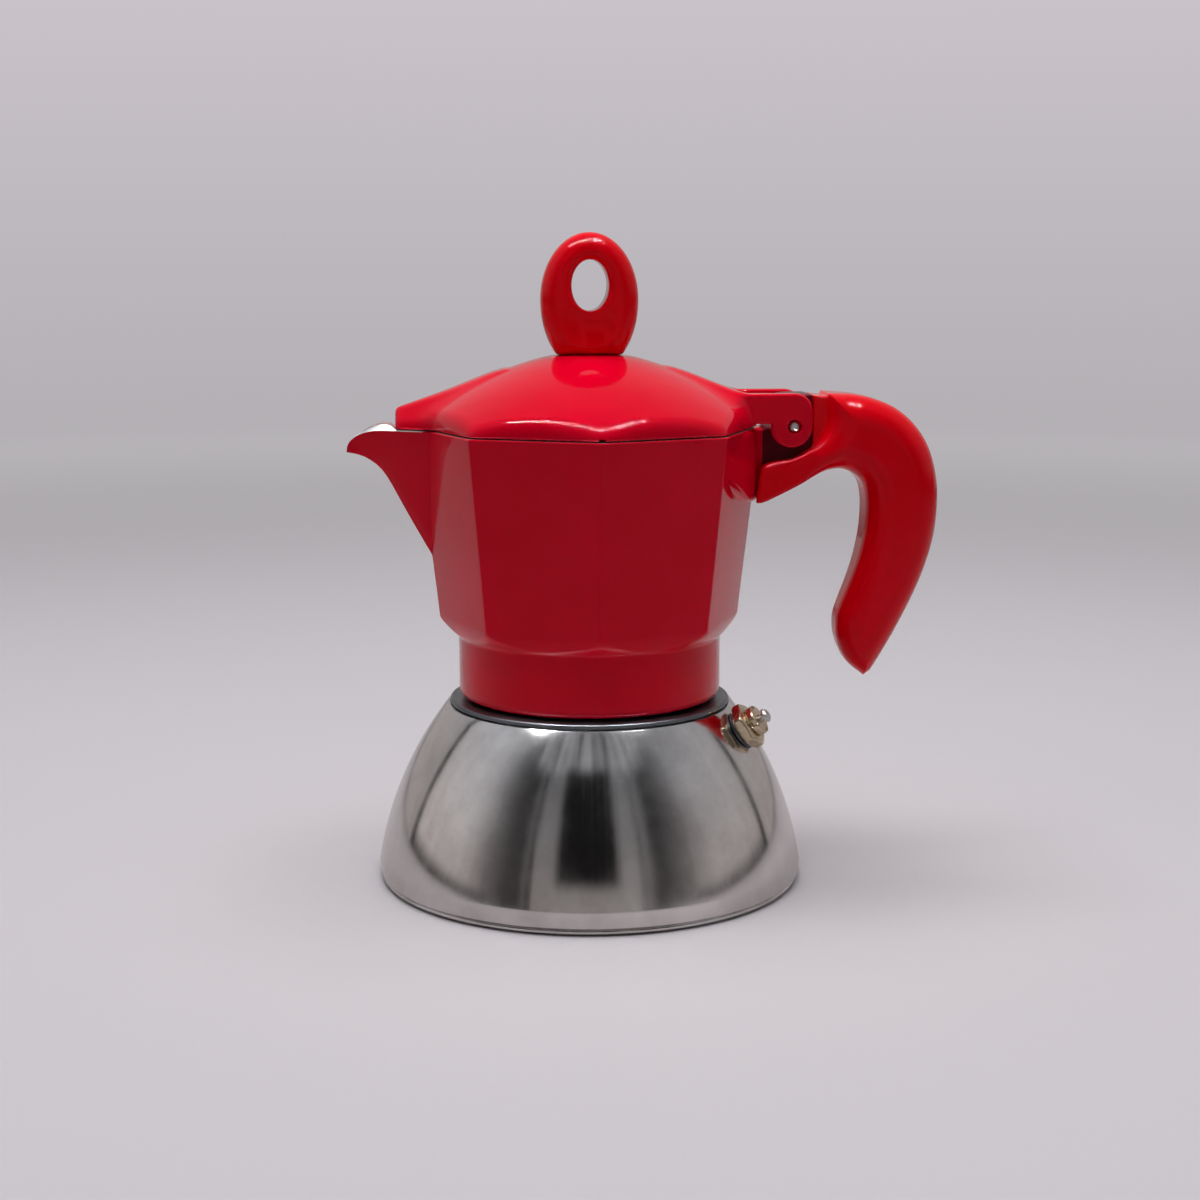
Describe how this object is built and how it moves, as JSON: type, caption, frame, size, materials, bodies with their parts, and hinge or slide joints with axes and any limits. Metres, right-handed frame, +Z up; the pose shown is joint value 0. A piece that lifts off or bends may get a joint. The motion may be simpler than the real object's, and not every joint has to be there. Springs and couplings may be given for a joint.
{
  "type": "moka pot",
  "caption": "Stove-top moka pot with a steel bell-shaped boiler, a red octagonal screw-on collector, a hinged lid with a knob, and a lever handle.",
  "frame": {"origin": "centre of the base's rest face", "axes": "+Z up along the pot's axis, -X towards the spout, +X towards the handle"},
  "size_m": [0.1306, 0.095, 0.1434],
  "materials": {
    "polished_steel": "polished stainless steel",
    "cast_aluminium": "satin aluminium",
    "turned_aluminium": "turned aluminium",
    "nickel_brass": "nickel-plated brass",
    "spring_steel": "bright steel",
    "seal_rubber": "matt food-grade rubber",
    "red_enamel": "high-gloss red enamel",
    "red_plastic": "glossy red moulded plastic"
  },
  "bodies": {
    "boiler": {"base_disc": "polished_steel", "boiler_shell": "polished_steel", "boiler_liner": "cast_aluminium", "boiler_neck": "turned_aluminium", "valve_washer": "seal_rubber", "valve_body": "nickel_brass", "valve_cap": "nickel_brass", "valve_spring": "spring_steel"},
    "valve_pin": {"valve_pin": "spring_steel", "valve_seal": "seal_rubber"},
    "funnel": {"funnel_basket": "cast_aluminium", "funnel_stem": "cast_aluminium", "funnel_strainer": "cast_aluminium"},
    "filter_plate": {"filter_plate": "cast_aluminium"},
    "gasket": {"gasket": "seal_rubber"},
    "collector": {"collector": "red_enamel", "column": "cast_aluminium", "handle": "red_plastic", "handle_pin": "spring_steel", "hinge_pin": "spring_steel"},
    "lid": {"lid": "red_enamel", "knob": "red_plastic", "knob_screw": "spring_steel", "knob_washer": "spring_steel"}
  },
  "joints": [
    {"name": "funnel_lift", "type": "slide", "parent": "boiler", "child": "funnel", "axis": [0, 0, 1], "range_m": [0, 0.075]},
    {"name": "filter_lift", "type": "slide", "parent": "funnel", "child": "filter_plate", "axis": [0, 0, 1], "range_m": [0, 0.06]},
    {"name": "collector_rise", "type": "slide", "parent": "filter_plate", "child": "gasket", "axis": [0, 0, 1], "range_m": [0, 0.009]},
    {"name": "collector_turn", "type": "hinge", "parent": "gasket", "child": "collector", "pos_m": [0, 0, 0.05], "axis": [0, 0, 1], "range_deg": [0, 1081]},
    {"name": "lid_hinge", "type": "hinge", "parent": "collector", "child": "lid", "pos_m": [0.0442, 0, 0.1016], "axis": [0, 1, 0], "range_deg": [0, 90]},
    {"name": "valve_pin_slide", "type": "slide", "parent": "boiler", "child": "valve_pin", "axis": [0.7658, -0.3172, 0.5593], "range_m": [0, 0.0015], "stiffness_N_per_m": 600, "springref_m": -0.002, "deforming": ["valve_spring"]}
  ],
  "couplings": [
    {"joint": "collector_turn", "follows": "collector_rise", "rad_per_m": 2094.4}
  ]
}
